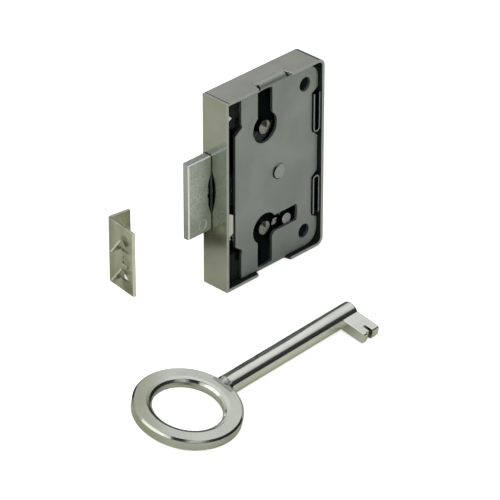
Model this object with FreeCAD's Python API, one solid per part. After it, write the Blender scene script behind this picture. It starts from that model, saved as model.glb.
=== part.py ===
import FreeCAD, Part
import math
import os

# Cupboard rim lock with its strike plate and key, in millimetres.
# Origin: on the door side of the base plate, midway between the two screw holes.
# +X points away from the bolt, +Y into the cupboard, +Z up along the forend.
# The sketches below measure X from the key pins and Y from the rim of the case,
# and main moves the whole to the origin.

V = FreeCAD.Vector

# Pressed case
case_length = 35.2
case_height = 54.5
case_depth = 8.6
case_sheet = 0.8
forend_sheet = 0.8
back_corner_r = 2.2
cover_bend_r = 0.35
seam_width = 0.2
seam_depth = 0.35
seam_x = 0.75
nib_reach = 1.1
nib_height = 1.5
nib_point_drop = 1.0
nib_drop = 2.8
nib_depth = 0.6

# Key pins
backset = 14.8
pin_inset = 12.6
pin_d = 3.8
pin_cone = 0.8
pin_shoulder_y = 1.3
rivet_proud = 0.25

# Base plate
plate_sheet = 0.85
plate_y = 1.1
plate_gap = 0.5
plate_top_gap = 0.4
plate_corner_r = 4.2
plate_front = 4.2
plate_front_inset = 11.25
plate_step = 2.1
plate_step_rise = 1.5
relief_depth = 0.25
relief_height = 1.0
plate_bend_r = 1.5
tab_middle = 2.6
tab_width = 10.2
tab_length = 0.8
tab_relief = 0.8
window_depth = 2.05
window_low = 5.0
window_low_slope = 1.75
window_high_inset = 8.15
window_high_slope = 1.2
pip_x = 5.1
pip_r = 2.1
pip_rise = 0.35

# Keyholes in the base plate
keyhole_r = 4.3
keyhole_slot = 5.3
keyhole_end_r = 10.95
drawer_slot = 4.8
drawer_end_r = 11.9

# Screw holes
screw_back_inset = 6.05
screw_end_inset = 5.85
screw_r = 1.95
screw_head_r = 3.6
screw_boss_r = 2.7

# Bolt
bolt_throw = 8.0
bolt_below_pin = 3.95
bolt_thickness = 2.36
bolt_step = 0.8
bolt_tail_gap = 4.0
bolt_step_r = 15.3
bolt_step_reach = 1.45
bolt_chamfer = 0.35
talon_floor_half = 2.0
talon_floor_gap = 0.25
bolt_mark_r = 1.45
bolt_mark_core_r = 1.1
bolt_mark_depth = 0.12
bolt_mark_reach = 3.3
bolt_mark_inset = 2.6
stump_r = 1.25
stump_shank_r = 0.9
stump_reach = 5.3

# Tumblers and ward plate
tumbler_room = 0.4
tumbler_sheet = 1.1
tumbler_gap = 0.1
pivot_inset = 4.9
pivot_r = 1.5
pivot_eye_r = 2.7
pivot_eye_neck = 2.43
tumbler_lift_deg = 7.0
tumbler_nose = 12.0
tumbler_nose_half = 2.7
tumbler_arm_half = 4.2
belly_half_width = 4.6
front_belly = 6.2
rear_belly = 5.7
tail_arm_width = 1.3
tail_arm_reach = 7.6
tail_lug = 2.45
tail_lug_height = 1.2
ward_sheet = 0.4
ward_end_inset = 6.65
ward_left = 9.9
ward_right_gap = 0.8
ward_hole_r = 7.2
ward_corner_r = 1.5
stud_before_pivot = 3.1
stud_above_pin = 3.4
stud_r = 1.5
stud_proud = 0.12

# Springs
hairpin_leg = 0.4
hairpin_low = 6.35
hairpin_end_gap = 1.6
hairpin_rim_y = 0.6
brake_sheet = 0.3
brake_y = 1.2
brake_tab_reach = 2.6
brake_tab_height = 8.3
brake_tab_drop = 2.3
brake_tab_chamfer = 1.5
brake_blade_width = 1.6
brake_blade_drop = 2.0
brake_blade_room = 0.4
brake_bump_inset = 1.4
brake_end_inset = 0.4
brake_end_drop = 1.0

# Moulded insert
insert_y = 2.0
insert_front_wall = 1.1
chamber_end_inset = 9.05

# Key
bow_r = 13.6
bow_edge = 0.55
bow_thickness = 3.3
bow_hole_r = 8.6
bow_slope_steps = 3
key_reach = 60.4
barrel_r = 2.72
barrel_bore_r = 2.0
barrel_bore_depth = 14.0
neck_length = 1.3
neck_r = 1.6
bit_reach = 9.55
bit_width = 5.5
bit_thickness = 3.0
bit_edge_r = 0.7
ward_cut = 1.0
ward_cut_depth = 2.6
end_prong = 2.28
bit_step = 1.2
bit_step_drop = 0.55
key_x = -64.1
key_y = -35.6
key_yaw_deg = 3.2
key_roll_deg = 11.8

# Strike plate
strike_sheet = 0.8
strike_height = 18.4
strike_catch = 6.9
strike_flange = 11.2
strike_bend_r = 1.3
strike_x = -31.23
strike_y = 26.68
strike_yaw_deg = -8.0
strike_hole_r = 1.75
strike_hole_head_r = 2.15
strike_hole_reach = 8.3
strike_hole_level = 8.9
spur_reach = 3.2
spur_lance = 0.5
spur_base = 2.3
spur_low = 3.6
spur_high = 12.1
spur_line = 6.4

# Clearances
seat = 0.05
bolt_seat = 0.08
ward_seat_gap = 0.07
slip = 0.1
hole_slip = 0.025
slot_gap = 0.22
running = 0.05
clear = 0.3

# Places that follow from the sizes above
forend_x = -backset
forend_in_x = forend_x + forend_sheet
back_x = forend_x + case_length
back_in_x = back_x - case_sheet
half_height = case_height / 2
wall_in_z = half_height - case_sheet
cover_in_y = case_depth - case_sheet
pin_z = half_height - pin_inset
pin_r = pin_d / 2
plate_in_y = plate_y + plate_sheet
plate_right_x = back_in_x - plate_gap
plate_half = wall_in_z - plate_top_gap
plate_left_x = forend_x + plate_front
plate_front_half = half_height - plate_front_inset
window_high = half_height - window_high_inset
pivot_x = back_in_x - pivot_inset
screw_x = back_x - screw_back_inset
screw_z = half_height - screw_end_inset
bolt_tip_x = forend_x - bolt_throw
bolt_far_y = cover_in_y - bolt_seat
bolt_near_y = bolt_far_y - bolt_thickness
bolt_tail_y = bolt_near_y + bolt_step
bolt_half = pin_z - bolt_below_pin
bolt_tail_end = pivot_x - bolt_tail_gap
bolt_mark_z = bolt_mark_inset - bolt_half
stump_x = forend_x + stump_reach
front_tumbler_y = plate_in_y + tumbler_room
rear_tumbler_y = front_tumbler_y + tumbler_sheet + tumbler_gap
ward_y = rear_tumbler_y + tumbler_sheet + ward_seat_gap
ward_far_y = ward_y + ward_sheet
ward_half_height = half_height - ward_end_inset
ward_right = pivot_x - ward_right_gap
stud_x = pivot_x - stud_before_pivot
stud_z = pin_z + stud_above_pin
hairpin_high = window_high - hairpin_end_gap
chamber_half = half_height - chamber_end_inset
floor_z = -half_height


def prism(points, y_from, y_to):
    """Solid between two depths over a closed outline of (x, z) points."""
    ring = [V(x, y_from, z) for x, z in points]
    face = Part.Face(Part.makePolygon(ring + ring[:1]))
    return face.extrude(V(0, y_to - y_from, 0))


def block(x_from, x_to, y_from, y_to, z_from, z_to):
    """Box between two corners."""
    return Part.makeBox(x_to - x_from, y_to - y_from, z_to - z_from, V(x_from, y_from, z_from))


def post(x, z, radius, y_from, y_to):
    """Round bar along Y."""
    return Part.makeCylinder(radius, y_to - y_from, V(x, y_from, z), V(0, 1, 0))


def flared(x, z, r_from, r_to, y_from, y_to):
    """Round taper along Y."""
    return Part.makeCone(r_from, r_to, y_to - y_from, V(x, y_from, z), V(0, 1, 0))


def upside_down(shape):
    """The same shape on the other side of the mid-height."""
    return shape.mirror(V(0, 0, 0), V(0, 0, 1))


def both_ways(shape):
    """A shape and its mirror image about the mid-height."""
    return [shape, upside_down(shape)]


def stadium(a, b, radius, y_from, y_to):
    """Slot with round ends between two (x, z) centres."""
    length = math.hypot(b[0] - a[0], b[1] - a[1])
    across = (-(b[1] - a[1]) / length * radius, (b[0] - a[0]) / length * radius)
    band = [
        (a[0] + across[0], a[1] + across[1]),
        (b[0] + across[0], b[1] + across[1]),
        (b[0] - across[0], b[1] - across[1]),
        (a[0] - across[0], a[1] - across[1]),
    ]
    ends = [post(x, z, radius, y_from, y_to) for x, z in (a, b)]
    return prism(band, y_from, y_to).multiFuse(ends)


def soften(solid, radius, corners):
    """Rounds the edges along Y that pass through the given (x, z) corners."""
    near = 1e-4
    picked = []
    for edge in solid.Edges:
        ends = [vertex.Point for vertex in edge.Vertexes]
        if len(ends) != 2 or math.hypot(ends[0].x - ends[1].x, ends[0].z - ends[1].z) > near:
            continue
        if any(math.hypot(ends[0].x - x, ends[0].z - z) < near for x, z in corners):
            picked.append(edge)
    return solid.makeFillet(radius, picked)


def edges_at_depth(solid, y):
    """Edges that lie wholly at one depth."""
    near = 1e-4
    return [e for e in solid.Edges if abs(e.BoundBox.YMin - y) < near and abs(e.BoundBox.YMax - y) < near]


def case_shell():
    """Closed outer form of the case, less its hollow, open on the door side."""
    outer = block(forend_x, back_x, 0, case_depth, -half_height, half_height)
    outer = soften(outer, back_corner_r, [(back_x, half_height), (back_x, -half_height)])
    outer = outer.makeFillet(cover_bend_r, edges_at_depth(outer, case_depth))
    inner = block(forend_in_x, back_in_x, 0, cover_in_y, -wall_in_z, wall_in_z)
    corners = [(back_in_x, wall_in_z), (back_in_x, -wall_in_z)]
    inner = soften(inner, back_corner_r - case_sheet, corners)
    return outer.cut(inner)


def tab_gap():
    """Cut-out in the top wall for the base plate's tab, with a relief each side."""
    left = tab_middle - tab_width / 2 - seat
    right = tab_middle + tab_width / 2 + seat
    bend_end = plate_y + plate_bend_r
    deep = bend_end + tab_length + seat
    outline = [
        (left - tab_relief, 0),
        (left, bend_end),
        (left, deep),
        (right, deep),
        (right, bend_end),
        (right + tab_relief, 0),
    ]
    ring = [V(x, y, wall_in_z - clear) for x, y in outline]
    face = Part.Face(Part.makePolygon(ring + ring[:1]))
    return face.extrude(V(0, 0, case_sheet + 2 * clear))


def make_case():
    """Pressed case: forend, cover and three walls, with the bolt slot and screw holes."""
    case = case_shell()
    slot_half = bolt_half + slot_gap
    slot = block(forend_x - 1, forend_in_x + 1, bolt_near_y - slot_gap, cover_in_y, -slot_half, slot_half)
    seam_to_x = forend_x + seam_x + seam_width
    seam = block(forend_x + seam_x, seam_to_x, 0, case_depth, half_height - seam_depth, half_height)
    nib_top = wall_in_z - nib_drop
    nib = prism(
        [
            (forend_in_x, nib_top),
            (forend_in_x + nib_reach, nib_top - nib_point_drop),
            (forend_in_x, nib_top - nib_height),
        ],
        0,
        nib_depth,
    )
    cuts = [slot] + both_ways(tab_gap()) + both_ways(seam)
    for z in (-screw_z, screw_z):
        cuts.append(flared(screw_x, z, screw_r, screw_head_r, cover_in_y, case_depth))
    pins = ((0, pin_z, pin_r), (0, -pin_z, pin_r), (pivot_x, 0, pivot_r))
    studs = ((stud_x, stud_z, stud_r), (stud_x, -stud_z, stud_r))
    for x, z, radius in pins + studs:
        cuts.append(post(x, z, radius + hole_slip, 0, case_depth))
    return case.fuse(nib).cut(Part.makeCompound(cuts)).removeSplitter()


def keyhole(y_from, y_to):
    """Round hole over a key pin with its slot for the bit, upper one."""
    reach = post(0, pin_z, keyhole_end_r, y_from, y_to)
    slot = block(-keyhole_slot / 2, keyhole_slot / 2, y_from, y_to, pin_z, pin_z + 2 * keyhole_end_r)
    return post(0, pin_z, keyhole_r, y_from, y_to).fuse(slot.common(reach))


def drawer_hole(y_from, y_to):
    """Sideways slot of the lower keyhole, for the lock laid on its side."""
    reach = post(0, -pin_z, drawer_end_r, y_from, y_to)
    slot = block(0, 2 * drawer_end_r, y_from, y_to, -pin_z - drawer_slot / 2, -pin_z + drawer_slot / 2)
    return slot.common(reach)


def plate_outline():
    """Upper half of the base plate's outline, from the front edge round to the back edge."""
    step_x = plate_left_x + plate_step
    chamfer_z = plate_front_half + plate_step_rise
    window_x = plate_right_x - window_depth
    return [
        (plate_left_x, 0),
        (plate_left_x, plate_front_half),
        (step_x, chamfer_z),
        (step_x + relief_depth, chamfer_z),
        (step_x + relief_depth, chamfer_z + relief_height),
        (step_x, chamfer_z + relief_height),
        (step_x, plate_half),
        (plate_right_x, plate_half),
        (plate_right_x, window_high),
        (window_x, window_high - window_high_slope),
        (window_x, window_low + window_low_slope),
        (plate_right_x, window_low),
        (plate_right_x, 0),
    ]


def bent_tab():
    """Tab at the top of the base plate, bent into the case wall's cut-out."""
    bend_y = plate_y + plate_bend_r
    bend_z = half_height - plate_bend_r
    inner_r = plate_bend_r - plate_sheet
    end_y = bend_y + tab_length
    slant = math.sqrt(0.5)
    x = tab_middle - tab_width / 2

    def at(y, z):
        return V(x, y, z)

    edges = [
        Part.LineSegment(at(plate_y, bend_z - plate_bend_r), at(plate_y, bend_z)),
        Part.Arc(
            at(plate_y, bend_z),
            at(bend_y - slant * plate_bend_r, bend_z + slant * plate_bend_r),
            at(bend_y, half_height),
        ),
        Part.LineSegment(at(bend_y, half_height), at(end_y, half_height)),
        Part.LineSegment(at(end_y, half_height), at(end_y, half_height - plate_sheet)),
        Part.LineSegment(at(end_y, half_height - plate_sheet), at(bend_y, half_height - plate_sheet)),
        Part.Arc(
            at(bend_y, half_height - plate_sheet),
            at(bend_y - slant * inner_r, bend_z + slant * inner_r),
            at(plate_in_y, bend_z),
        ),
        Part.LineSegment(at(plate_in_y, bend_z), at(plate_in_y, bend_z - plate_bend_r)),
        Part.LineSegment(at(plate_in_y, bend_z - plate_bend_r), at(plate_y, bend_z - plate_bend_r)),
    ]
    wire = Part.Wire([edge.toShape() for edge in edges])
    return Part.Face(wire).extrude(V(tab_width, 0, 0))


def make_base_plate():
    """Flat plate that closes the case on the door side."""
    upper = plate_outline()
    lower = [(x, -z) for x, z in reversed(upper[1:-1])]
    plate = prism(upper + lower, plate_y, plate_in_y)
    corners = [(plate_right_x, plate_half), (plate_right_x, -plate_half)]
    plate = soften(plate, plate_corner_r, corners)
    plate = plate.multiFuse(both_ways(bent_tab()) + [post(pip_x, 0, pip_r, plate_y - pip_rise, plate_in_y)])
    cuts = both_ways(keyhole(plate_y - 1, plate_in_y + 1))
    cuts.append(drawer_hole(plate_y - 1, plate_in_y + 1))
    cuts.append(post(pip_x, 0, pip_r - seat, plate_in_y - pip_rise, plate_in_y + 1))
    for z in (-screw_z, screw_z):
        cuts.append(post(screw_x, z, screw_r, plate_y - 1, plate_in_y + 1))
    return plate.cut(Part.makeCompound(cuts)).removeSplitter()


def riveted(x, z, radius, y_from):
    """Stud that stands in the cover and is riveted over on its outer side."""
    return post(x, z, radius, y_from, case_depth + rivet_proud)


def make_key_pin(z):
    """Pin that the hollow key turns on, with a pointed end."""
    point = flared(0, z, 0, pin_r, pin_shoulder_y - pin_cone, pin_shoulder_y)
    return riveted(0, z, pin_r, pin_shoulder_y).fuse(point).removeSplitter()


def make_pivot():
    """Stud that the tumblers turn on."""
    return riveted(pivot_x, 0, pivot_r, plate_in_y + seat)


def make_ward_studs():
    """Two bright studs that the ward plate is located on."""
    return Part.makeCompound(both_ways(riveted(stud_x, stud_z, stud_r, ward_y - stud_proud)))


def make_ward_plate():
    """Thin ward plate between tumblers and bolt, which the key's cut passes over."""
    left = -ward_left
    outline = [
        (left, -ward_half_height),
        (left, ward_half_height),
        (ward_right, ward_half_height),
        (ward_right, -ward_half_height),
    ]
    plate = soften(prism(outline, ward_y, ward_far_y), ward_corner_r, outline)
    y_from = ward_y - 1
    y_to = ward_far_y + 1
    cuts = []
    cuts += both_ways(post(0, pin_z, ward_hole_r, y_from, y_to))
    cuts += both_ways(post(screw_x, screw_z, screw_boss_r + slip, y_from, y_to))
    cuts += both_ways(post(stud_x, stud_z, stud_r + running, y_from, y_to))
    half = bit_thickness / 2 + clear
    cuts += both_ways(block(-half, half, y_from, y_to, pin_z, ward_half_height + 1))
    reach = post(0, -pin_z, bit_reach + clear, y_from, y_to)
    side = block(0, bit_reach + clear, y_from, y_to, -pin_z - half, -pin_z + half)
    cuts.append(side.common(reach))
    cuts.append(stadium((stump_x, 0), (stump_x + bolt_throw, 0), stump_r + clear, y_from, y_to))
    cuts.append(post(pivot_x, 0, pivot_r + slip, y_from, y_to))
    return plate.cut(Part.makeCompound(cuts)).removeSplitter()


def talon():
    """Notch in the bolt's upper edge that the key's end prong works in."""
    floor_z_up = pin_z - bit_reach - talon_floor_gap
    swing = math.sqrt(bit_reach ** 2 - (pin_z - bolt_half) ** 2)
    mouth_half = swing - bolt_throw / 2 + bit_thickness / 2 + clear
    middle = -bolt_throw / 2
    rise = bolt_half - floor_z_up
    flare = (mouth_half - talon_floor_half) / rise
    over = 1.0
    outline = [
        (middle - talon_floor_half, floor_z_up),
        (middle + talon_floor_half, floor_z_up),
        (middle + mouth_half + flare * over, bolt_half + over),
        (middle - mouth_half - flare * over, bolt_half + over),
    ]
    notch = prism(outline, bolt_near_y - 1, bolt_far_y + 1)
    return soften(notch, talon_floor_half / 2, outline[:2])


def make_bolt():
    """Cast bolt: thick head, thinner tail with two talons and a fork round the pivot."""
    head_end = forend_x + bolt_step_reach + bolt_step_r
    bolt = block(bolt_tip_x, bolt_tail_end, bolt_near_y, bolt_far_y, -bolt_half, bolt_half)
    tip = [e for e in bolt.Edges if e.BoundBox.XMax < bolt_tip_x + 1e-4 and e.BoundBox.ZLength > 1]
    rims = [e for e in bolt.Edges if e.BoundBox.XLength > 1 and e.BoundBox.YMax < bolt_near_y + 1e-4]
    bolt = bolt.makeChamfer(bolt_chamfer, tip + rims)
    step_middle = forend_x - bolt_step_reach + bolt_step_r
    lowered = post(step_middle, 0, bolt_step_r, bolt_near_y - 1, bolt_tail_y)
    beyond = block(step_middle, head_end, bolt_near_y - 1, bolt_tail_y, -2 * bolt_half, 2 * bolt_half)
    above = bolt_near_y - 1
    below = bolt_far_y + 1
    fork_x = pivot_x - bolt_throw - clear + slip
    fork = stadium((fork_x, 0), (bolt_tail_end + 2 * pivot_r, 0), pivot_r + slip, above, below)
    mark_x = forend_x - bolt_mark_reach
    mark_y = bolt_near_y + bolt_mark_depth
    mark = post(mark_x, bolt_mark_z, bolt_mark_r, above, mark_y)
    mark = mark.cut(post(mark_x, bolt_mark_z, bolt_mark_core_r, above, mark_y))
    shank = post(stump_x, 0, stump_shank_r + hole_slip, above, below)
    cuts = [lowered, beyond, fork, mark, shank] + both_ways(talon())
    return bolt.cut(Part.makeCompound(cuts)).removeSplitter()


def make_stump():
    """Steel stump on the bolt that stands in the tumblers' windows."""
    body = post(stump_x, 0, stump_r, front_tumbler_y + seat, bolt_tail_y)
    shank = post(stump_x, 0, stump_shank_r, bolt_tail_y, bolt_far_y)
    return body.fuse(shank).removeSplitter()


def stump_in_tumbler(travel):
    """Where the stump lies in the lifted tumbler's own frame at some bolt travel."""
    angle = math.radians(tumbler_lift_deg) * travel / bolt_throw
    x = stump_x + travel - pivot_x
    return (pivot_x + x * math.cos(angle), x * math.sin(angle))


def make_tumbler(y_from, belly):
    """Moulded tumbler: nose, window for the stump, two bellies, eye and two tail arms."""
    y_to = y_from + tumbler_sheet

    def at(x, z):
        return V(x, y_from, z)

    nose = -tumbler_nose
    shoulder = nose + tumbler_arm_half - tumbler_nose_half
    eye_x = pivot_x - pivot_eye_r / 2
    upper = [
        (nose, 0),
        (nose, tumbler_nose_half),
        (shoulder, tumbler_arm_half),
        (-belly_half_width, tumbler_arm_half),
    ]
    after = [
        (belly_half_width, tumbler_arm_half),
        (eye_x, pivot_eye_neck),
        (eye_x, 0),
    ]
    edges = []
    for a, b in zip(upper, upper[1:]):
        edges.append(Part.LineSegment(at(*a), at(*b)).toShape())
    edges.append(Part.Arc(at(*upper[-1]), at(0, belly), at(*after[0])).toShape())
    for a, b in zip(after, after[1:]):
        edges.append(Part.LineSegment(at(*a), at(*b)).toShape())
    edges.append(Part.LineSegment(at(*after[-1]), at(*upper[0])).toShape())
    half = Part.Face(Part.Wire(edges)).extrude(V(0, tumbler_sheet, 0))
    arm_x = pivot_x + pivot_eye_r - tail_arm_width
    arm = block(arm_x - tail_arm_width / 2, arm_x + tail_arm_width / 2, y_from, y_to, 0, tail_arm_reach)
    lug_x = pivot_x + tail_lug
    lug = block(arm_x, lug_x, y_from, y_to, tail_arm_reach - tail_lug_height, tail_arm_reach)
    eye = post(pivot_x, 0, pivot_eye_r, y_from, y_to)
    body = half.multiFuse([upside_down(half), eye] + both_ways(arm) + both_ways(lug)).removeSplitter()
    steps = 4
    path = [stump_in_tumbler(bolt_throw * step / steps) for step in range(steps + 1)]
    room = stump_r + clear
    cuts = [stadium(a, b, room, y_from, y_to) for a, b in zip(path, path[1:])]
    cuts.append(stadium(path[-1], (path[-1][0], 0), room, y_from, y_to))
    cuts.append(post(pivot_x, 0, pivot_r + running, y_from, y_to))
    return body.cut(Part.makeCompound(cuts)).removeSplitter()


def make_springs(y_from, y_to):
    """Two hairpin springs that centre a tumbler, one above and one below."""
    inner_x = pivot_x + tail_lug + seat
    outer_x = back_in_x - seat
    bend_r = (outer_x - inner_x) / 2
    middle = (inner_x + outer_x) / 2
    bend_z = hairpin_low + bend_r
    inner_leg = block(inner_x, inner_x + hairpin_leg, y_from, y_to, bend_z, hairpin_high)
    outer_leg = block(outer_x - hairpin_leg, outer_x, y_from, y_to, bend_z, hairpin_high)
    ring = post(middle, bend_z, bend_r, y_from, y_to)
    ring = ring.cut(post(middle, bend_z, bend_r - hairpin_leg, y_from, y_to))
    bend = ring.common(block(inner_x - 1, outer_x + 1, y_from, y_to, bend_z - 2 * bend_r, bend_z))
    hairpin = inner_leg.multiFuse([outer_leg, bend]).removeSplitter()
    return Part.makeCompound(both_ways(hairpin))


def make_brake_spring():
    """Leaf spring by the forend: a flat tab and a blade that bears on the bolt's lower edge."""
    x_from = forend_in_x + seat
    tab_low = -bolt_half - brake_tab_drop
    tab_high = tab_low + brake_tab_height
    tab = prism(
        [
            (x_from, tab_low),
            (x_from, tab_high),
            (x_from + brake_tab_reach, tab_high - brake_tab_chamfer),
            (x_from + brake_tab_reach, tab_low + brake_tab_chamfer),
        ],
        brake_y,
        brake_y + brake_sheet,
    )
    rest_z = -bolt_half - slip
    blade_z = -bolt_half - brake_blade_drop
    bump_y = cover_in_y - brake_bump_inset
    line = [
        (brake_y, blade_z),
        (bolt_near_y - clear, blade_z),
        (bump_y - slip, rest_z),
        (bump_y + slip, rest_z),
        (cover_in_y - brake_end_inset, rest_z - brake_end_drop),
    ]
    back = [(y, z - brake_sheet) for y, z in reversed(line)]
    ring = [V(x_from + slip, y, z) for y, z in line + back]
    face = Part.Face(Part.makePolygon(ring + ring[:1]))
    blade = face.extrude(V(brake_blade_width, 0, 0))
    return tab.fuse(blade).removeSplitter()


def key_room(y_from, y_to):
    """Room that the upper key's bit sweeps, with the slot it enters by."""
    room = post(0, pin_z, bit_reach + clear, y_from, y_to)
    slot = block(-keyhole_slot / 2, keyhole_slot / 2, y_from, y_to, pin_z, pin_z + keyhole_end_r)
    return room.fuse(slot)


def make_insert():
    """Moulded tray that fills the case round the works."""
    left = forend_in_x + slip
    right = back_in_x - slip
    top = wall_in_z - slip
    far = cover_in_y - seat
    near = insert_y - 1
    beyond = far + 1
    tray = block(left, right, insert_y, far, -top, top)
    tray = soften(tray, back_corner_r - case_sheet, [(right, top), (right, -top)])
    for z in (-screw_z, screw_z):
        tray = tray.fuse(post(screw_x, z, screw_boss_r, insert_y, far))

    wall_x = left + insert_front_wall
    chamber = block(wall_x, right + 1, near, ward_y - seat, -chamber_half, chamber_half)
    channel_end_x = bolt_tail_end + bolt_throw + slip
    channel_half = bolt_half + slip
    channel = block(left - 1, channel_end_x, ward_far_y + seat, beyond, -channel_half, channel_half)
    ward_left_x = -ward_left - slip
    ward_right_x = ward_right + slip
    ward_top = ward_half_height + slip
    ward_seat = block(ward_left_x, ward_right_x, ward_y - seat, ward_far_y + seat, -ward_top, ward_top)
    over_ward = block(-ward_left, ward_right, near, ward_y, chamber_half - 1, ward_top)
    for z in (-screw_z, screw_z):
        boss = post(screw_x, z, screw_boss_r, near, beyond)
        ward_seat = ward_seat.cut(boss)
        over_ward = over_ward.cut(boss)
    stump_path = ((stump_x, 0), (stump_x + bolt_throw, 0))
    stump_slot = stadium(*stump_path, stump_r + clear, insert_y, ward_far_y + 2 * seat)
    tab_cut = block(
        tab_middle - tab_width / 2 - clear,
        tab_middle + tab_width / 2 + clear,
        near,
        plate_y + plate_bend_r + tab_length + clear,
        half_height - plate_sheet - 2 * clear,
        half_height,
    )
    blade_right = left + brake_blade_width + brake_blade_room
    blade_low = -bolt_half - brake_blade_drop - brake_sheet - 2 * slip
    blade_room = block(left - 1, blade_right, near, beyond, blade_low, -bolt_half)

    cuts = [chamber, channel, ward_seat, stump_slot, drawer_hole(near, beyond), blade_room]
    cuts += both_ways(over_ward) + both_ways(tab_cut) + both_ways(key_room(near, beyond))
    cuts += both_ways(post(screw_x, screw_z, screw_r + slip, near, beyond))
    cuts += both_ways(post(stud_x, stud_z, stud_r + slip, near, beyond))
    cuts.append(post(pivot_x, 0, pivot_r + slip, near, beyond))
    tray = tray.cut(Part.makeCompound(cuts)).removeSplitter()
    return max(tray.Solids, key=lambda solid: solid.Volume)


def key_bow():
    """Ring bow: flat faces, bevelled outer edges and a rounded slope down to the hole."""
    half = bow_thickness / 2
    flat_r = bow_r - bow_edge
    outline = [(flat_r, half), (bow_r, half - bow_edge), (bow_r, bow_edge - half), (flat_r, -half)]
    for step in range(2 * bow_slope_steps + 1):
        angle = math.pi * (step / (2 * bow_slope_steps) - 0.5)
        outline.append((bow_hole_r + half * (1 - math.cos(angle)), half * math.sin(angle)))
    ring = [V(x, 0, z) for x, z in outline]
    face = Part.Face(Part.makePolygon(ring + ring[:1]))
    return face.revolve(V(0, 0, 0), V(0, 0, 1), 360)


def key_bit():
    """Bit with rounded tip edges, a ward cut, an end prong and a lower step beside the cut."""
    half = bit_thickness / 2
    bit = Part.makeBox(bit_width, bit_reach, bit_thickness, V(key_reach - bit_width, -bit_reach, -half))
    tip = [e for e in bit.Edges if e.BoundBox.YMax < -bit_reach + 1e-4 and e.BoundBox.XLength > 1]
    bit = bit.makeFillet(bit_edge_r, tip)
    cuts = []
    x = key_reach - end_prong
    for width, depth in ((ward_cut, ward_cut_depth), (bit_step, bit_step_drop)):
        x -= width
        cuts.append(Part.makeBox(width, depth + 1, bit_thickness + 2, V(x, -bit_reach - 1, -half - 1)))
    return bit.cut(Part.makeCompound(cuts))


def edge_drop(reach, half, roll):
    """How far an edge hangs below the key's axis when the key is rolled."""
    return reach * math.sin(roll) + half * math.cos(roll)


def make_key():
    """Key lying on the floor, tilted onto the near edge of its bow."""
    along = V(1, 0, 0)
    neck_x = bow_r - neck_length
    neck = Part.makeCone(neck_r, barrel_r, neck_length, V(neck_x, 0, 0), along)
    barrel = Part.makeCylinder(barrel_r, key_reach - bow_r, V(bow_r, 0, 0), along)
    bore_x = key_reach - barrel_bore_depth
    bore = Part.makeCylinder(barrel_bore_r, barrel_bore_depth + 1, V(bore_x, 0, 0), along)
    key = key_bow().multiFuse([neck, barrel, key_bit()]).cut(bore).removeSplitter()
    roll = math.radians(key_roll_deg)
    bow_drop = edge_drop(bow_r, bow_thickness / 2 - bow_edge, roll)
    round_drop = edge_drop(bit_reach - bit_edge_r, bit_thickness / 2 - bit_edge_r, roll)
    bit_drop = round_drop + bit_edge_r
    pitch_deg = math.degrees(math.asin((bow_drop - bit_drop) / key_reach))
    turn = FreeCAD.Rotation(V(0, 0, 1), key_yaw_deg)
    turn = turn.multiply(FreeCAD.Rotation(V(0, 1, 0), pitch_deg))
    turn = turn.multiply(FreeCAD.Rotation(along, key_roll_deg))
    key.Placement = FreeCAD.Placement(V(key_x, key_y, 0), turn)
    key.translate(V(0, 0, floor_z - key.optimalBoundingBox(False).ZMin))
    return key


def spur(z):
    """Pointed spur lanced from the flange and bent square, with its level edge below."""
    ring = [V(0, -spur_line, z), V(0, -spur_line, z + spur_base), V(-spur_reach, -spur_line, z)]
    return Part.Face(Part.makePolygon(ring + ring[:1])).extrude(V(0, strike_sheet, 0))


def spur_hole(z):
    """Pointed hole that the spur was lanced from."""
    end_y = -spur_line - spur_reach - spur_lance
    low = z - spur_lance
    ring = [V(-1, -spur_line, low), V(-1, -spur_line, z + spur_base + spur_lance), V(-1, end_y, low)]
    return Part.Face(Part.makePolygon(ring + ring[:1])).extrude(V(strike_sheet + 2, 0, 0))


def upright_edges(solid, x, y):
    """Edges along Z at one corner of a box."""
    near = 1e-4
    found = []
    for edge in solid.Edges:
        box = edge.BoundBox
        if box.ZLength > 1 and abs(box.XMin - x) < near and abs(box.YMin - y) < near:
            found.append(edge)
    return found


def make_strike():
    """Angle strike plate with a countersunk hole and two spurs, standing on its end."""
    outer = Part.makeBox(strike_catch, strike_flange, strike_height, V(0, -strike_flange, 0))
    outer = outer.makeFillet(strike_bend_r, upright_edges(outer, 0, 0))
    nook = V(strike_sheet, -strike_flange - strike_sheet, 0)
    inner = Part.makeBox(strike_catch, strike_flange, strike_height, nook)
    inner = inner.makeFillet(strike_bend_r - strike_sheet, upright_edges(inner, strike_sheet, -strike_sheet))
    across = V(1, 0, 0)
    middle = V(0, -strike_hole_reach, strike_hole_level)
    hole = Part.makeCylinder(strike_hole_r, strike_sheet + 2, middle - across, across)
    depth = strike_hole_head_r - strike_hole_r
    sink_from = middle + across * (strike_sheet - depth)
    sink = Part.makeCone(strike_hole_r, strike_hole_head_r, depth, sink_from, across)
    levels = (spur_low, spur_high)
    plate = outer.cut(Part.makeCompound([inner, hole, sink] + [spur_hole(z) for z in levels]))
    plate = plate.multiFuse([spur(z) for z in levels]).removeSplitter()
    plate.rotate(V(0, 0, 0), V(0, 0, 1), strike_yaw_deg)
    plate.translate(V(strike_x, strike_y, floor_z))
    return plate


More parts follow.
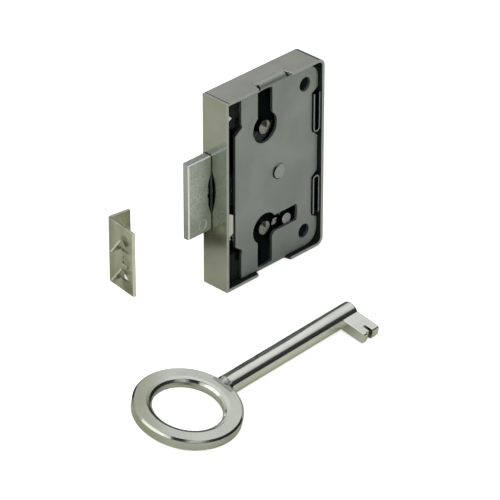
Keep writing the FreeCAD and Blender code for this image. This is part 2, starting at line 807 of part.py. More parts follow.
def main():
    """Writes one file for each sub-part."""
    nodes = {
        "case": make_case(),
        "base_plate": make_base_plate(),
        "moulded_insert": make_insert(),
        "ward_plate": make_ward_plate(),
        "ward_studs": make_ward_studs(),
        "upper_key_pin": make_key_pin(pin_z),
        "lower_key_pin": make_key_pin(-pin_z),
        "tumbler_pivot": make_pivot(),
        "bolt": make_bolt(),
        "bolt_stump": make_stump(),
        "front_tumbler": make_tumbler(front_tumbler_y, front_belly),
        "rear_tumbler": make_tumbler(rear_tumbler_y, rear_belly),
        "front_tumbler_springs": make_springs(hairpin_rim_y, front_tumbler_y + tumbler_sheet),
        "rear_tumbler_springs": make_springs(rear_tumbler_y, rear_tumbler_y + tumbler_sheet),
        "brake_spring": make_brake_spring(),
        "key": make_key(),
        "strike_plate": make_strike(),
    }
    os.makedirs("parts", exist_ok=True)
    for name, shape in nodes.items():
        shape.translate(V(-screw_x, -plate_y, 0))
        shape.exportStep("parts/" + name + ".step")


main()
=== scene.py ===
import math

import bmesh
import bpy
from mathutils import Matrix, Vector


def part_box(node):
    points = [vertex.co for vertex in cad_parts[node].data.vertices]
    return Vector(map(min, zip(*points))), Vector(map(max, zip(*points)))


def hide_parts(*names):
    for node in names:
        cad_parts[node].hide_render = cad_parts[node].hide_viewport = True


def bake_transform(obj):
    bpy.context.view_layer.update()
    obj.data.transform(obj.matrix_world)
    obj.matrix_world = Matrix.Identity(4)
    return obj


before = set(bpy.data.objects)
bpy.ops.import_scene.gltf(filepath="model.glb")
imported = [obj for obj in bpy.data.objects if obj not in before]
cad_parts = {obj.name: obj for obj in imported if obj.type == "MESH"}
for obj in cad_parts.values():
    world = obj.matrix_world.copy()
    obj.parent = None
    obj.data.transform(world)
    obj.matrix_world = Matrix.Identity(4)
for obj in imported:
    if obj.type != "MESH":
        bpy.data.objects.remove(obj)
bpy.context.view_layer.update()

MM = 0.001
EVEN = (1.0, 1.0, 1.0)
BLACK = (0.0, 0.0, 0.0)
WHITE = (1.0, 1.0, 1.0)

HAIRPIN_STRIP = 0.4 * MM
HAIRPIN_FOOT = 6.35 * MM
HAIRPIN_LEG_STEPS = 6
HAIRPIN_BEND_STEPS = 24

FLOOR_HALF_SIDE = 1.5

PHOTO_WIDTH_PX = 500
FOCAL_LENGTH_PX = 3714.3
CAMERA_AZIMUTH = math.radians(-45.496)
CAMERA_ELEVATION = math.radians(30.733)
CAMERA_ROLL = math.radians(0.026)
CAMERA_PLACE = (-0.59918, -0.56948, 0.46414)


class Value:
    """A number that changes over a surface. Python's operators add its Math nodes."""

    def __init__(self, graph, socket):
        self.graph = graph
        self.socket = socket

    def maths(self, operation, first, second):
        return self.graph.node("ShaderNodeMath", {"operation": operation}, {0: first, 1: second})

    def __add__(self, other):
        return self.maths("ADD", self, other)

    def __radd__(self, other):
        return self.maths("ADD", other, self)

    def __sub__(self, other):
        return self.maths("SUBTRACT", self, other)

    def __rsub__(self, other):
        return self.maths("SUBTRACT", other, self)

    def __mul__(self, other):
        return self.maths("MULTIPLY", self, other)

    def __rmul__(self, other):
        return self.maths("MULTIPLY", other, self)


class Graph:
    """A node tree, with short ways to add nodes to it."""

    def __init__(self, tree):
        self.tree = tree

    def fill(self, socket, value):
        """Links a value to a socket, or sets a plain number or colour on it."""
        if isinstance(value, Value):
            self.tree.links.new(value.socket, socket)
        elif isinstance(value, tuple) and len(value) == 3 and socket.type == "RGBA":
            socket.default_value = (*value, 1.0)
        else:
            socket.default_value = value

    def node(self, kind, settings, sockets, output=0):
        """Adds a node, sets its settings first, fills its sockets, and returns one output."""
        made = self.tree.nodes.new(kind)
        for name, value in settings.items():
            if name == "stops":
                self.set_stops(made.color_ramp, value)
            else:
                setattr(made, name, value)
        for key, value in sockets.items():
            self.fill(made.inputs[key], value)
        return Value(self, made.outputs[output])

    def set_stops(self, ramp, stops):
        """Gives a ramp, which starts with two elements, one element for each stop."""
        for stop in stops[2:]:
            ramp.elements.new(stop[0])
        for element, (position, tone) in zip(ramp.elements, sorted(stops)):
            element.position = position
            element.color = (tone, tone, tone, 1.0) if isinstance(tone, float) else (*tone, 1.0)

    def ramp(self, value, stops):
        """Maps a value through greys or colours at the given positions."""
        return self.node("ShaderNodeValToRGB", {"stops": stops}, {"Fac": value})

    def step(self, value, low, high):
        """Smooth change from 0 to 1 while the value goes from low to high."""
        sockets = {"Value": value, "From Min": low, "From Max": high, "To Min": 0.0, "To Max": 1.0}
        return self.node("ShaderNodeMapRange", {"interpolation_type": "SMOOTHSTEP"}, sockets, "Result")

    def part(self, vector, axis):
        """One component of a vector."""
        return self.node("ShaderNodeSeparateXYZ", {}, {0: vector}, axis)

    def on_vectors(self, operation, first, second, output=0):
        """One Vector Math node."""
        return self.node("ShaderNodeVectorMath", {"operation": operation}, {0: first, 1: second}, output)

    def blend(self, share, first, second, how="MIX"):
        """Mixes two colours."""
        settings = {"data_type": "RGBA", "blend_type": how}
        return self.node("ShaderNodeMix", settings, {"Factor": share, 6: first, 7: second}, 2)


class Finish(Graph):
    """One finish: a node material with its shader."""

    def __init__(self, name):
        self.material = bpy.data.materials.new(name)
        self.material.use_nodes = True
        super().__init__(self.material.node_tree)
        self.shader = self.tree.nodes["Principled BSDF"]
        self.place = self.node("ShaderNodeTexCoord", {}, {}, "Object")
        self.flat = self.node("ShaderNodeNewGeometry", {}, {}, "True Normal")

    def noise(self, size_mm, detail=3.0, roughness=0.5, stretch=EVEN):
        """Soft noise whose blotches are about size_mm across, from 0 to 1."""
        scaled = self.on_vectors("MULTIPLY", self.place, stretch)
        sockets = {"Vector": scaled, "Scale": 1.0 / (size_mm * MM), "Detail": detail, "Roughness": roughness}
        return self.node("ShaderNodeTexNoise", {}, sockets, "Fac")

    def fade(self, axis, start, end):
        """Mask that goes from 0 to 1 as a coordinate goes from start to end."""
        return self.step(self.part(self.place, axis), start, end)

    def facing(self, axis, start, end):
        """Mask that goes from 0 to 1 as the surface's normal goes from start to end along an axis."""
        return self.step(self.part(self.flat, axis), start, end)

    def between(self, axis, low, high, soft=0.1 * MM):
        """Mask that is 1 where a coordinate lies between two places, fading over soft."""
        along = self.part(self.place, axis)
        return self.step(along, low, low + soft) * self.step(along, high, high - soft)

    def from_axis(self, x, z):
        """Distance from a line along Y."""
        flattened = self.on_vectors("MULTIPLY", self.place, (1, 0, 1))
        return self.on_vectors("DISTANCE", flattened, (x, 0, z), "Value")

    def near(self, spot, reach_mm):
        """Mask that is 1 close to a spot and fades to 0 at the reach."""
        reach = reach_mm * MM
        off_spot = self.on_vectors("DISTANCE", self.place, spot, "Value")
        return self.step(off_spot, reach, 0.3 * reach)

    def rounded(self, radius_mm):
        """Surface normal with edges rounded to a small radius."""
        return self.node("ShaderNodeBevel", {"samples": 14}, {"Radius": radius_mm * MM})

    def edges(self, radius_mm):
        """Mask that is 1 at edges and 0 on flat faces."""
        same = self.on_vectors("DOT_PRODUCT", self.rounded(radius_mm), self.flat, "Value")
        return self.step(1.0 - same, 0.0, 0.22)

    def bump(self, height, depth_mm, strength, normal):
        """Normal from a height."""
        sockets = {"Height": height, "Distance": depth_mm * MM, "Strength": strength, "Normal": normal}
        return self.node("ShaderNodeBump", {}, sockets)

    def shade(self, **sockets):
        """Fills the shader's own sockets; a name's underscore stands for a blank."""
        for name, value in sockets.items():
            self.fill(self.shader.inputs[name.replace("_", " ")], value)
        return self.material


def toned(tone, times):
    """A colour made lighter or darker."""
    return tuple(min(1.0, c * times) for c in tone)


def plated(finish, tone, worn_and_highlit, roughness, grain_mm, grain_depth_mm, edge_mm, stretch=EVEN):
    """Colour, roughness and normal of a metal skin with clouds, fine grain, dark pits, and edges made
    lighter, partly by wear and partly as a painted highlight.
    """
    cloud_mm = 11.0
    pit_mm = 0.8
    cloud = finish.noise(cloud_mm, detail=2.0)
    grain = finish.noise(grain_mm, detail=4.0, roughness=0.65, stretch=stretch)
    pits = finish.step(finish.noise(pit_mm, detail=5.0, roughness=0.75), 0.68, 0.78)
    edge = finish.edges(edge_mm)
    base = finish.blend(finish.step(cloud, 0.3, 0.7), tone, toned(tone, 0.86))
    base = finish.blend(finish.step(grain, 0.42, 0.72) * 0.25, base, toned(tone, 1.2))
    base = finish.blend(pits * 0.3, base, toned(tone, 0.4))
    # Edges: lighter tone, partly wear and partly a painted highlight.
    base = finish.blend(edge * 0.6, base, worn_and_highlit)
    rough = roughness + 0.08 * (grain - 0.5) + 0.10 * (cloud - 0.5) + 0.10 * pits - 0.04 * edge
    normal = finish.bump(grain, grain_depth_mm, 0.5, finish.rounded(edge_mm * 0.8))
    return base, rough, normal


def case_nickel():
    """Case: plated outside, with the forend's seam, a painted highlight on the bent nib, and painted shade
    on the walls inside.
    """
    low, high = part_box("case")
    finish = Finish("case_nickel")
    shade_tone = (0.004, 0.009, 0.008)
    seam_tone = (0.01, 0.01, 0.01)
    nib_highlight_tone = (0.95, 0.96, 0.95)
    rim_tone = (0.62, 0.67, 0.66)
    fold_tone = (0.30, 0.32, 0.29)
    wall = 0.8 * MM
    seam_left = low.x + 0.72 * MM
    seam_right = low.x + 0.98 * MM
    seam_foot = high.z - 0.5 * MM
    nib_right = low.x + 2.5 * MM
    nib_back = low.y + 0.7 * MM
    nib_foot = high.z - 5.2 * MM
    nib_top = high.z - 3.4 * MM
    fold_foot = high.z - 1.2 * MM
    fold_top = high.z - 0.6 * MM
    base, rough, normal = plated(
        finish, (0.54, 0.56, 0.50), (0.80, 0.82, 0.78), roughness=0.13,
        grain_mm=0.5, grain_depth_mm=0.005, edge_mm=0.2, stretch=(1.0, 1.0, 0.2))
    seam = finish.between("X", seam_left, seam_right, 0.04 * MM)
    seam = seam * finish.fade("Z", seam_foot, seam_foot + 0.1 * MM)
    shade = finish.between("X", low.x + wall, high.x - 0.3 * MM)
    shade = shade * finish.between("Y", low.y + 0.06 * MM, high.y - wall * 0.5)
    shade = shade * finish.between("Z", low.z + 0.15 * MM, high.z - wall * 0.95)
    # Bent nib: painted near-white and dull as a highlight.
    nib = finish.between("X", low.x + wall, nib_right, 0.02 * MM)
    nib = nib * finish.fade("Y", nib_back, nib_back - 0.1 * MM)
    nib = nib * finish.between("Z", nib_foot, nib_top, 0.05 * MM)
    shade = shade * (1.0 - nib)
    rim = finish.fade("Y", low.y + 0.08 * MM, low.y + 0.03 * MM)
    fold = finish.facing("X", 0.1, 0.3) * finish.fade("Z", fold_foot, fold_top)
    base = finish.blend(shade * 0.99, base, shade_tone)
    base = finish.blend(seam, base, seam_tone)
    base = finish.blend(nib, base, nib_highlight_tone)
    base = finish.blend(rim * 0.8, base, rim_tone)
    base = finish.blend(fold * 0.8, base, fold_tone)
    rough = rough + 0.3 * (shade + rim + fold)
    dull = finish.step(shade + nib * 0.9 + rim * 0.3 + fold * 0.75, 0.0, 1.0)
    return finish.shade(Base_Color=base, Metallic=1.0 - dull, Roughness=rough, Normal=normal)


def plate_nickel():
    """Base plate: satin nickel with painted shade toward its lower end and in the notch at the tab's end,
    and a ring round the pip painted as shade and highlight.
    """
    low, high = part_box("base_plate")
    finish = Finish("plate_nickel")
    tone = (0.55, 0.62, 0.63)
    tab_tone = (0.50, 0.53, 0.48)
    gap_shade_tone = (0.02, 0.02, 0.02)
    ring_shade_tone = (0.012, 0.016, 0.016)
    tab_left = low.x + 8.1 * MM
    tab_foot = high.z - 2.4 * MM
    gap_right = tab_left + 0.85 * MM
    gap_foot = high.z - 1.6 * MM
    gap_back = low.y + 1.3 * MM
    pip_x = low.x + 15.4 * MM
    pip_face_r = 1.75 * MM
    line_inner_r = 1.70 * MM
    line_outer_r = 1.98 * MM
    line_soft = 0.06 * MM
    base, rough, normal = plated(
        finish, tone, (0.62, 0.66, 0.65), roughness=0.55,
        grain_mm=0.45, grain_depth_mm=0.006, edge_mm=0.15)
    # Painted shade: darker toward the lower bend.
    toward_foot = finish.fade("Z", low.z + 9.0 * MM, low.z + 1.0 * MM)
    base = finish.blend(toward_foot * 0.35, base, toned(tone, 0.45))
    tab = finish.fade("Z", tab_foot, high.z - 0.8 * MM)
    base = finish.blend(tab * 0.9, base, tab_tone)
    # Painted shade: near-black in the notch at the tab's left end.
    gap = finish.between("X", tab_left, gap_right, 0.05 * MM)
    gap = gap * finish.fade("Z", gap_foot, gap_foot + 0.2 * MM)
    gap = gap * finish.fade("Y", gap_back, gap_back - 0.3 * MM)
    base = finish.blend(gap, base, gap_shade_tone)
    off_pip = finish.from_axis(pip_x, 0.0)
    # Pip face: painted lighter as a highlight.
    pip_face_highlight = finish.step(off_pip, pip_face_r, pip_face_r - 0.1 * MM)
    base = finish.blend(pip_face_highlight * 0.6, base, toned(tone, 1.2))
    # Ring round the pip: painted shade on its shaded side and a painted highlight on the other side.
    line = finish.step(off_pip, line_inner_r, line_inner_r + line_soft)
    line = line * finish.step(off_pip, line_outer_r, line_outer_r - line_soft)
    shaded_side = finish.fade("X", pip_x + 0.6 * MM, pip_x - 0.3 * MM)
    base = finish.blend(line * shaded_side, base, ring_shade_tone)
    base = finish.blend(line * (1.0 - shaded_side) * 0.4, base, toned(tone, 1.4))
    return finish.shade(Base_Color=base, Metallic=1.0, Roughness=rough, Normal=normal)


def strike_nickel():
    """Strike plate: warm nickel with clouds, painted shade by the bend, below the spurs and on faces turned
    down, lighter edges, and a painted highlight along the leaf's cut end.
    """
    low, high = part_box("strike_plate")
    finish = Finish("strike_nickel")
    cloud_tone = (0.34, 0.35, 0.26)
    bend_shade_tone = (0.36, 0.38, 0.30)
    spur_shade_tone = (0.20, 0.20, 0.11)
    underside_shade_tone = (0.09, 0.09, 0.05)
    end_tone = (0.92, 0.93, 0.82)
    leaf_x = low.x + 3.4 * MM
    upper_spur_shade = (leaf_x, high.y - 7.6 * MM, high.z - 3.6 * MM)
    lower_spur_shade = (leaf_x, high.y - 8.6 * MM, low.z + 2.2 * MM)
    base, rough, normal = plated(
        finish, (0.66, 0.67, 0.53), (0.88, 0.89, 0.80), roughness=0.24,
        grain_mm=0.7, grain_depth_mm=0.006, edge_mm=0.2)
    cloud = finish.step(finish.noise(4.0, detail=2.0), 0.45, 0.7)
    base = finish.blend(cloud * 0.5, base, cloud_tone)
    # Painted shade in the corner by the bend.
    bend_shade = finish.fade("Y", high.y - 4.5 * MM, high.y - 1.5 * MM)
    bend_shade = bend_shade * finish.fade("X", low.x + 5.2 * MM, low.x + 4.8 * MM)
    base = finish.blend(bend_shade * 0.55, base, bend_shade_tone)
    # Painted shade below the spurs.
    spur_shade = finish.near(upper_spur_shade, reach_mm=2.6) + finish.near(lower_spur_shade, reach_mm=3.6)
    spur_shade = spur_shade * finish.facing("X", -0.3, -0.6)
    base = finish.blend(finish.step(spur_shade, 0.0, 1.0) * 0.6, base, spur_shade_tone)
    # Painted shade on faces turned down.
    under = finish.facing("Z", -0.1, -0.45)
    base = finish.blend(under * 0.8, base, underside_shade_tone)
    # Painted highlight: near-white and duller along the front leaf's cut end.
    end = finish.fade("Y", low.y + 0.35 * MM, low.y + 0.25 * MM)
    base = finish.blend(end * 0.8, base, end_tone)
    return finish.shade(Base_Color=base, Metallic=1.0 - 0.5 * end, Roughness=rough, Normal=normal)


def key_nickel():
    """Key: polished plate over a slightly wavy casting, with painted shade on the bow, toward its far left
    side and where the barrel joins it.
    """
    low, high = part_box("key")
    finish = Finish("key_nickel")
    bow_shade_tint = (0.77, 0.78, 0.76)
    aslant_shade_tint = (0.66, 0.66, 0.57)
    neck_shade_tone = (0.16, 0.18, 0.16)
    bow_x = low.x + 13.6 * MM
    bow_y = (low.y + high.y) / 2
    bow_right = low.x + 28.0 * MM
    neck_left = low.x + 25.0 * MM
    neck_right = low.x + 27.5 * MM
    neck_half = 3.4 * MM
    base, rough, normal = plated(
        finish, (0.90, 0.93, 0.86), (0.94, 0.96, 0.91), roughness=0.10,
        grain_mm=0.7, grain_depth_mm=0.003, edge_mm=0.3)
    # Painted shade: darker on the bow and toward its far left side.
    base = finish.blend(finish.fade("X", bow_right, bow_right - 3.0 * MM), base, bow_shade_tint, "MULTIPLY")
    aslant = finish.part(finish.place, "X") - finish.part(finish.place, "Y") - (bow_x - bow_y)
    base = finish.blend(finish.step(aslant, -5.0 * MM, -17.0 * MM), base, aslant_shade_tint, "MULTIPLY")
    # Painted shade where the barrel joins the bow.
    neck_shade = finish.between("X", neck_left, neck_right, 0.3 * MM)
    neck_shade = neck_shade * finish.between("Y", bow_y - neck_half, bow_y + neck_half, 0.6 * MM)
    base = finish.blend(neck_shade * 0.6, base, neck_shade_tone)
    wavy = finish.bump(finish.noise(2.6, detail=2.0), 0.05, 0.5, normal)
    return finish.shade(Base_Color=base, Metallic=1.0, Roughness=rough, Normal=wavy)


def bright_steel(name, tone, roughness, metallic=1.0):
    """Plain steel, as turned or cut."""
    finish = Finish(name)
    base, rough, normal = plated(
        finish, tone, toned(tone, 1.25), roughness, grain_mm=0.4, grain_depth_mm=0.008, edge_mm=0.15)
    return finish.shade(Base_Color=base, Metallic=metallic, Roughness=rough, Normal=normal)


def ward_stud_steel():
    """Ward studs: painted near-white and dull at the door side as a highlight, plain turned steel where they
    are riveted in the cover.
    """
    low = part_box("ward_studs")[0]
    finish = Finish("ward_stud_steel")
    tone = (0.93, 0.95, 0.93)
    rivet_tone = (0.42, 0.44, 0.43)
    # Door side: near-white and dull, a painted highlight.
    base, rough, normal = plated(
        finish, tone, tone, roughness=0.5, grain_mm=0.4, grain_depth_mm=0.008, edge_mm=0.15)
    behind = finish.fade("Y", low.y + 1.5 * MM, low.y + 2.0 * MM)
    base = finish.blend(behind, base, rivet_tone)
    rough = rough - 0.25 * behind
    return finish.shade(Base_Color=base, Metallic=0.2 + 0.8 * behind, Roughness=rough, Normal=normal)


def spring_strip():
    """Spring strip: dark oiled faces, painted highlights on the edges and painted light on the cut sides
    toward the door.
    """
    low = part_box("front_tumbler_springs")[0]
    finish = Finish("spring_strip")
    edge_highlight_tone = (0.42, 0.50, 0.52)
    near_face_light_tone = (0.30, 0.35, 0.34)
    oil = finish.noise(1.5)
    edge = finish.edges(0.16)
    base = finish.blend(finish.step(oil, 0.3, 0.7), (0.020, 0.026, 0.025), (0.05, 0.06, 0.055))
    # Painted highlights on the edges.
    base = finish.blend(edge * 0.7, base, edge_highlight_tone)
    # Painted light on the cut sides toward the door.
    cut = finish.fade("Y", low.y + 0.08 * MM, low.y + 0.04 * MM)
    base = finish.blend(cut, base, near_face_light_tone)
    normal = finish.bump(oil, 0.01, 0.4, finish.rounded(0.12))
    rough = 0.34 + 0.15 * (oil - 0.5)
    return finish.shade(Base_Color=base, Metallic=1.0 - 0.8 * cut, Roughness=rough, Normal=normal)


def black_moulding():
    """Moulded plastic with a fine texture and slight sheen on edges."""
    finish = Finish("black_moulding")
    edge_highlight_tone = (0.024, 0.034, 0.034)
    grain = finish.noise(0.35, detail=4.0, roughness=0.7)
    cloud = finish.noise(6.0, detail=2.0)
    edge = finish.edges(0.2)
    base = finish.blend(finish.step(cloud, 0.3, 0.7), (0.005, 0.010, 0.010), (0.009, 0.015, 0.015))
    base = finish.blend(edge * 0.5, base, edge_highlight_tone)
    normal = finish.bump(grain, 0.02, 0.6, finish.rounded(0.2))
    rough = 0.46 + 0.2 * (grain - 0.5) - 0.08 * edge
    return finish.shade(Base_Color=base, Roughness=rough, Specular_IOR_Level=0.12, Normal=normal)


def phosphated():
    """Ward plate: dark phosphated sheet, made bright round the lower key pin, partly by wear and partly as a
    painted highlight.
    """
    low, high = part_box("upper_key_pin")
    finish = Finish("phosphated_steel")
    dark_tone = (0.010, 0.014, 0.013)
    wear_and_highlight_tone = (0.75, 0.77, 0.74)
    pin_x = (low.x + high.x) / 2
    lower_pin_z = -(low.z + high.z) / 2
    rubbed_r = 8.5 * MM
    rubbed_foot = lower_pin_z - 3.6 * MM
    grain = finish.noise(0.5, detail=4.0, roughness=0.7)
    scratch = finish.step(finish.noise(0.9), 0.30, 0.55)
    near_pin = finish.step(finish.from_axis(pin_x, lower_pin_z), rubbed_r, rubbed_r - 0.5 * MM)
    near_pin = near_pin * finish.fade("Z", rubbed_foot, rubbed_foot + 0.8 * MM)
    # Bright round the lower pin and at edges: partly wear, partly a painted highlight.
    wear_and_highlight = finish.step((near_pin + finish.edges(0.2) * 0.15) * scratch, 0.1, 0.7)
    base = finish.blend(wear_and_highlight, dark_tone, wear_and_highlight_tone)
    normal = finish.bump(grain, 0.02, 0.6, finish.rounded(0.12))
    return finish.shade(Base_Color=base, Metallic=0.9 - 0.55 * wear_and_highlight, Roughness=0.45, Normal=normal)


def bolt_mark(finish, low):
    """Mask of the round mark on the bolt's door side, whose ring is painted bright as a highlight."""
    inner_r = 1.15 * MM
    outer_r = 1.6 * MM
    soft = 0.1 * MM
    off_mark = finish.from_axis(low.x + 4.7 * MM, low.z + 2.6 * MM)
    ring = finish.step(off_mark, inner_r, inner_r + soft) * finish.step(off_mark, outer_r, outer_r - soft)
    return ring * finish.fade("Y", low.y + 1.6 * MM, low.y + 1.2 * MM)


def bolt_recess(finish, low):
    """Masks of the painted shade in the recess by the forend and of the two painted glints in it."""
    half = 6.9 * MM
    recess = finish.between("Y", low.y + 0.08 * MM, low.y + 1.4 * MM, 0.2 * MM)
    recess = recess * finish.between("X", low.x + 6.2 * MM, low.x + 8.4 * MM)
    recess = recess * finish.between("Z", -half, half, 0.3 * MM)
    glints = finish.between("Z", -0.5 * MM, 1.5 * MM) + finish.between("Z", -3.3 * MM, -1.5 * MM)
    return recess, glints * finish.between("X", low.x + 7.0 * MM, low.x + 7.7 * MM)


def cast_zinc():
    """Bolt: tumbled zinc casting, speckled and pitted, with painted highlights on its edges and its round
    mark, painted shade on its top faces, in its recess and at the forend's slot, painted glints, and a
    smoother end face.
    """
    low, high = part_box("bolt")
    finish = Finish("cast_zinc")
    cloud_tone = (0.48, 0.54, 0.47)
    darker_end_tone = (0.36, 0.41, 0.35)
    pit_tone = (0.16, 0.19, 0.16)
    end_tone = (0.46, 0.49, 0.53)
    top_shade_tone = (0.30, 0.33, 0.30)
    edge_highlight_tone = (0.94, 0.96, 0.94)
    mark_highlight_tone = (0.95, 0.97, 0.95)
    recess_shade_tone = (0.01, 0.015, 0.012)
    glint_tone = (0.6, 0.66, 0.6)
    slot_shade_tone = (0.02, 0.025, 0.02)
    forend_x = low.x + 8.0 * MM
    speckle = finish.noise(0.6, detail=5.0, roughness=0.75)
    cloud = finish.noise(2.6)
    pits = finish.step(finish.noise(0.7, detail=4.0, roughness=0.8), 0.60, 0.68)
    door_side = finish.fade("Y", low.y + 0.42 * MM, low.y + 0.36 * MM)
    rim = finish.fade("Z", high.z - 0.26 * MM, high.z - 0.20 * MM)
    rim = rim + finish.fade("X", low.x + 0.30 * MM, low.x + 0.24 * MM)
    # Painted highlights: bright edges, and bright rims on the door side.
    edge = finish.step(0.7 * finish.edges(0.15) + door_side * rim, 0.0, 1.0)
    base = finish.ramp(speckle, [(0.34, (0.54, 0.63, 0.59)), (0.66, (0.90, 0.98, 0.95))])
    base = finish.blend(finish.step(cloud, 0.42, 0.62) * 0.35, base, cloud_tone)
    # Darker toward the forend and toward the foot.
    toward_forend = finish.fade("X", low.x + 3.0 * MM, forend_x)
    toward_foot = finish.fade("Z", high.z - 8.0 * MM, low.z)
    base = finish.blend(finish.step(toward_forend + toward_foot, 0.0, 1.4) * 0.6, base, darker_end_tone)
    base = finish.blend(pits * 0.35, base, pit_tone)
    end = finish.fade("X", low.x + 0.45 * MM, low.x + 0.2 * MM)
    base = finish.blend(end * 0.7, base, end_tone)
    # Painted shade: faces turned up darker.
    base = finish.blend(finish.facing("Z", 0.8, 0.95) * 0.7, base, top_shade_tone)
    base = finish.blend(edge * 0.8, base, edge_highlight_tone)
    # Painted highlight on the mark's ring.
    base = finish.blend(bolt_mark(finish, low) * 0.55, base, mark_highlight_tone)
    # Painted shade in the recess, with two painted glints.
    recess, glints = bolt_recess(finish, low)
    base = finish.blend(recess, base, finish.blend(glints, recess_shade_tone, glint_tone))
    # Painted shade where the bolt goes into the forend's slot.
    slot_shade = finish.between("X", forend_x - 0.2 * MM, forend_x + 0.2 * MM, 0.05 * MM)
    base = finish.blend(slot_shade * 0.9, base, slot_shade_tone)
    rough = 0.34 + 0.2 * (speckle - 0.5) + 0.1 * pits - 0.1 * edge
    normal = finish.bump(speckle + 0.5 * cloud, 0.09, 0.8, finish.rounded(0.25))
    return finish.shade(Base_Color=base, Metallic=0.80 - 0.5 * edge, Roughness=rough, Normal=normal)


def hairpin_stations(low, high):
    """Centre line of the upper hairpin from the end of its outer leg to the end of its inner leg.

    Each station is a place x, z and the direction across the strip.
    """
    bend_r = (high.x - low.x) / 2
    middle = (high.x + low.x) / 2
    bend_z = HAIRPIN_FOOT + bend_r
    line_r = bend_r - HAIRPIN_STRIP / 2
    stations = []
    for step in range(HAIRPIN_LEG_STEPS):
        z = high.z + (bend_z - high.z) * step / HAIRPIN_LEG_STEPS
        stations.append((middle + line_r, z, 1.0, 0.0))
    for step in range(HAIRPIN_BEND_STEPS + 1):
        angle = -math.pi * step / HAIRPIN_BEND_STEPS
        across_x, across_z = math.cos(angle), math.sin(angle)
        stations.append((middle + line_r * across_x, bend_z + line_r * across_z, across_x, across_z))
    for step in range(1, HAIRPIN_LEG_STEPS + 1):
        z = bend_z + (high.z - bend_z) * step / HAIRPIN_LEG_STEPS
        stations.append((middle - line_r, z, -1.0, 0.0))
    return stations


def hairpin_pair(node, name, material):
    """Pair of hairpin springs, upper and lower, made as one fixed mesh that takes the node's place."""
    low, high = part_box(node)
    shell = bmesh.new()
    for side in (1, -1):
        rings = []
        for x, z, across_x, across_z in hairpin_stations(low, high):
            ring = []
            for edge, y in ((-1, low.y), (1, low.y), (1, high.y), (-1, high.y)):
                out = edge * HAIRPIN_STRIP / 2
                ring.append(shell.verts.new((x + out * across_x, y, side * (z + out * across_z))))
            rings.append(ring)
        for first, second in zip(rings, rings[1:]):
            for corner in range(4):
                after = (corner + 1) % 4
                shell.faces.new((first[corner], first[after], second[after], second[corner]))
        shell.faces.new(rings[0])
        shell.faces.new(rings[-1])
    bmesh.ops.recalc_face_normals(shell, faces=shell.faces)
    mesh = bpy.data.meshes.new(name)
    shell.to_mesh(mesh)
    shell.free()
    mesh.materials.append(material)
    piece = bpy.data.objects.new(name, mesh)
    bpy.context.collection.objects.link(piece)
    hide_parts(node)
    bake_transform(piece)


def finish_the_nodes():
    """Gives every piece its finish."""
    turned = bright_steel("turned_steel", (0.42, 0.44, 0.43), roughness=0.22)
    black = black_moulding()
    springs = spring_strip()
    hairpin_pair("front_tumbler_springs", "front_hairpins", springs)
    hairpin_pair("rear_tumbler_springs", "rear_hairpins", springs)
    finishes = {
        "case": case_nickel(),
        "base_plate": plate_nickel(),
        "moulded_insert": black,
        "ward_plate": phosphated(),
        "ward_studs": ward_stud_steel(),
        "upper_key_pin": turned,
        "lower_key_pin": turned,
        "tumbler_pivot": turned,
        "bolt": cast_zinc(),
        "bolt_stump": turned,
        "front_tumbler": black,
        "rear_tumbler": black,
        "front_tumbler_springs": springs,
        "rear_tumbler_springs": springs,
        "brake_spring": bright_steel("brake_strip", (0.95, 0.97, 0.96), roughness=0.45, metallic=0.7),
        "key": key_nickel(),
        "strike_plate": strike_nickel(),
    }
    for node, material in finishes.items():
        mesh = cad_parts[node].data
        mesh.materials.clear()
        mesh.materials.append(material)


def camera_at_the_photo():
    """Camera at the photograph's place, with its long lens."""
    across = Vector((math.cos(CAMERA_AZIMUTH), math.sin(CAMERA_AZIMUTH), 0.0))
    level = Vector((math.sin(CAMERA_AZIMUTH), -math.cos(CAMERA_AZIMUTH), 0.0))
    back = level * math.cos(CAMERA_ELEVATION) + Vector((0.0, 0.0, math.sin(CAMERA_ELEVATION)))
    up = back.cross(across)
    data = bpy.data.cameras.new("photo_camera")
    data.sensor_width = 36.0
    data.lens = FOCAL_LENGTH_PX * data.sensor_width / PHOTO_WIDTH_PX
    data.clip_start = 0.05
    data.clip_end = 20.0
    camera = bpy.data.objects.new("photo_camera", data)
    bpy.context.collection.objects.link(camera)
    turn = Matrix((across, up, back)).transposed() @ Matrix.Rotation(CAMERA_ROLL, 3, "Z")
    camera.matrix_world = Matrix.Translation(CAMERA_PLACE) @ turn.to_4x4()
    bpy.context.scene.camera = camera


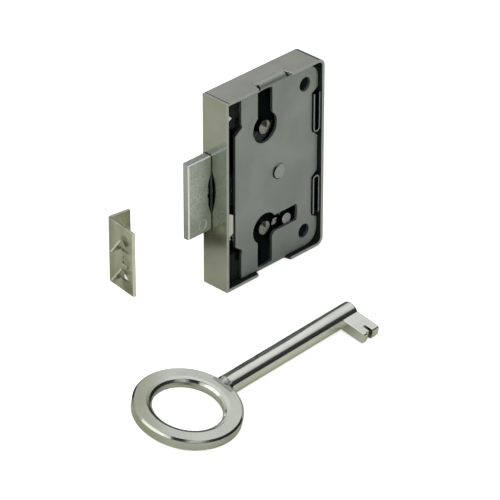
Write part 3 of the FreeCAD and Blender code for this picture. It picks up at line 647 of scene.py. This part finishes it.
def floor():
    """Plain pale floor under the pieces, greyer in reflections than to the camera."""
    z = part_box("case")[0].z
    half = FLOOR_HALF_SIDE
    corners = [(-half, -half, z), (half, -half, z), (half, half, z), (-half, half, z)]
    mesh = bpy.data.meshes.new("floor")
    mesh.from_pydata(corners, [], [(0, 1, 2, 3)])
    plane = bpy.data.objects.new("floor", mesh)
    bpy.context.collection.objects.link(plane)
    finish = Finish("pale_floor")
    reflected_tone = (0.57, 0.57, 0.48)
    glow_tone = (0.6, 0.6, 0.6)
    straight = finish.node("ShaderNodeLightPath", {}, {}, "Is Camera Ray")
    pale = finish.blend(finish.noise(60.0, detail=2.0), (0.95, 0.95, 0.95), (0.97, 0.97, 0.97))
    base = finish.blend(straight, reflected_tone, pale)
    glow = finish.blend(straight, BLACK, glow_tone)
    material = finish.shade(Base_Color=base, Roughness=0.9, Emission_Color=glow, Emission_Strength=1.0)
    mesh.materials.append(material)


def softbox(name, place, width, height, power):
    """Rectangular soft light aimed at the lock."""
    data = bpy.data.lights.new(name, "AREA")
    data.shape = "RECTANGLE"
    data.size = width
    data.size_y = height
    data.energy = power
    light = bpy.data.objects.new(name, data)
    bpy.context.collection.objects.link(light)
    light.location = place
    light.rotation_euler = (-Vector(place)).to_track_quat("-Z", "Y").to_euler()
    return light


def surround():
    """Light tent: dark round the horizon, pale above but for a dark card, and a plain white backdrop."""
    world = bpy.data.worlds.new("light_tent")
    bpy.context.scene.world = world
    world.use_nodes = True
    graph = Graph(world.node_tree)
    tilt = 0.13
    tent_tones = [(0.0, 0.03), (0.36, 0.045), (0.46, 0.50), (0.58, 0.66), (1.0, 1.0)]
    card_way = (-0.33, -0.33, 0.885)
    card_tone = (0.02, 0.02, 0.02)
    way = graph.node("ShaderNodeTexCoord", {}, {}, "Generated")
    height = graph.part(way, "Z") - tilt * graph.part(way, "X") + tilt * graph.part(way, "Y")
    tent = graph.ramp(height, tent_tones)
    toward_card = graph.on_vectors("DOT_PRODUCT", way, card_way, "Value")
    tent = graph.blend(graph.step(toward_card, 0.88, 0.94), tent, card_tone)
    straight = graph.node("ShaderNodeLightPath", {}, {}, "Is Camera Ray")
    background = world.node_tree.nodes["Background"]
    graph.fill(background.inputs["Color"], graph.blend(straight, tent, WHITE))


def lights():
    """Soft studio light: the tent, a box on the left, and a small box in front that no reflection shows."""
    surround()
    softbox("left_side", (-0.75, 0.10, 0.45), width=0.9, height=0.6, power=1.4)
    fill = softbox("front_fill", (-0.46, -0.45, 0.38), width=0.3, height=0.3, power=2.6)
    fill.visible_glossy = False


finish_the_nodes()
floor()
lights()
camera_at_the_photo()
bpy.context.scene.view_settings.view_transform = "Standard"

bpy.context.view_layer.update()
